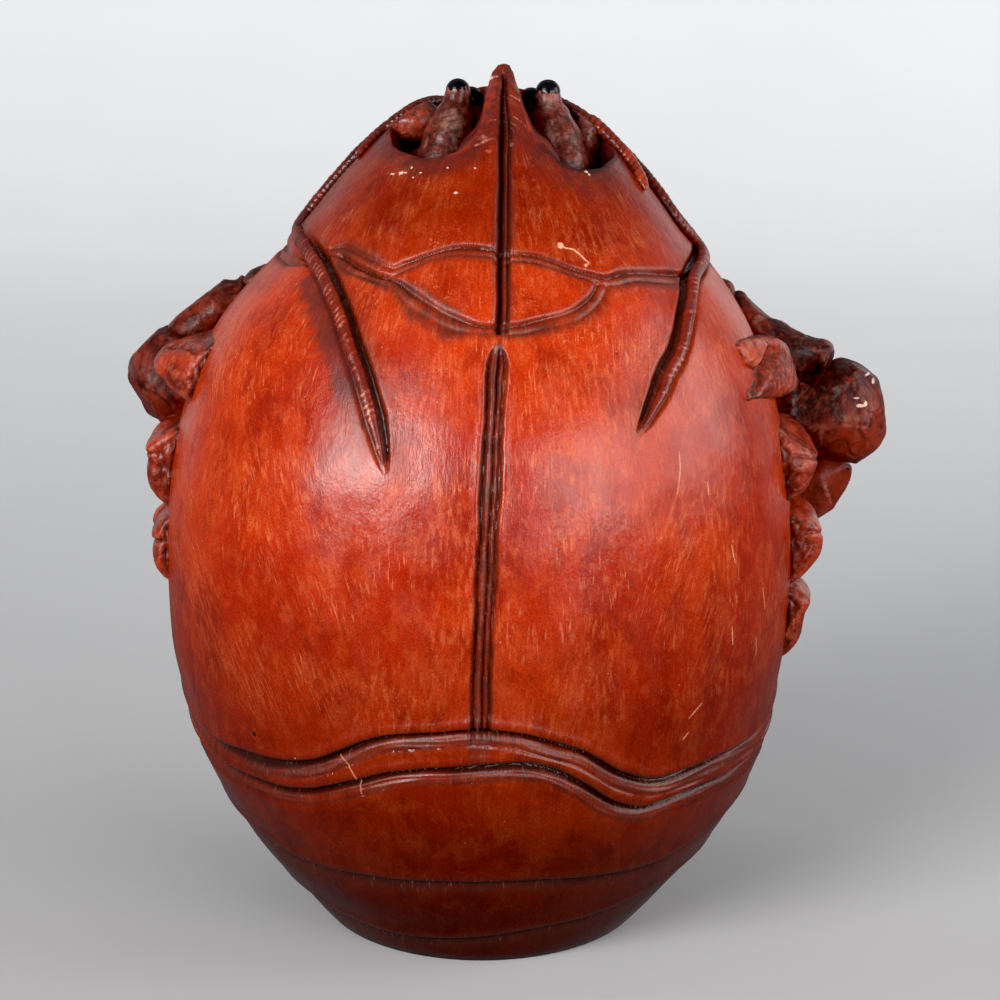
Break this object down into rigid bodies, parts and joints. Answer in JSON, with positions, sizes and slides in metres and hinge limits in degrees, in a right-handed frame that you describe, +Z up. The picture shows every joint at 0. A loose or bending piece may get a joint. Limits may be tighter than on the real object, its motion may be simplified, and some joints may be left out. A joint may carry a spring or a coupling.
{
  "type": "lobster figurine",
  "caption": "Painted hollow lobster figurine sitting upright on a flat foot, with carved carapace, claws folded on the belly, folded legs and ringed antennae laid over its back.",
  "frame": {"origin": "middle of the outline in plan, on the plane of the foot", "axes": "+Z up; -Y is the lobster's back, the side that the picture shows; +Y its belly; -X its left side"},
  "size_m": [0.276, 0.2208, 0.3066],
  "materials": {
    "carapace_red": "satin red-orange paint with dark wash in the grooves",
    "limb_red": "darker red paint with dark wash",
    "feeler_brown": "brown-red paint, ringed",
    "eye_black": "glossy black bead"
  },
  "bodies": {
    "root": {"body_shell": "carapace_red", "eyestalk_left": "limb_red", "eye_bead_left": "eye_black", "inner_bead_left": "eye_black", "antenna_base_left": "limb_red", "antenna_left": "feeler_brown", "antennule_left": "feeler_brown", "shoulder_left": "limb_red", "upper_arm_left": "limb_red", "elbow_left": "limb_red", "claw_palm_left": "limb_red", "claw_finger_left": "limb_red", "leg_1_left": "limb_red", "leg_2_left": "limb_red", "leg_3_left": "limb_red", "leg_4_left": "limb_red", "uropod_inner_left": "limb_red", "uropod_outer_left": "limb_red", "maxilliped_left": "limb_red", "eyestalk_right": "limb_red", "eye_bead_right": "eye_black", "inner_bead_right": "eye_black", "antenna_base_right": "limb_red", "antenna_right": "feeler_brown", "antennule_right": "feeler_brown", "shoulder_right": "limb_red", "upper_arm_right": "limb_red", "elbow_right": "limb_red", "claw_palm_right": "limb_red", "claw_finger_right": "limb_red", "leg_1_right": "limb_red", "leg_2_right": "limb_red", "leg_3_right": "limb_red", "leg_4_right": "limb_red", "uropod_inner_right": "limb_red", "uropod_outer_right": "limb_red", "maxilliped_right": "limb_red", "telson": "limb_red"}
  },
  "joints": []
}
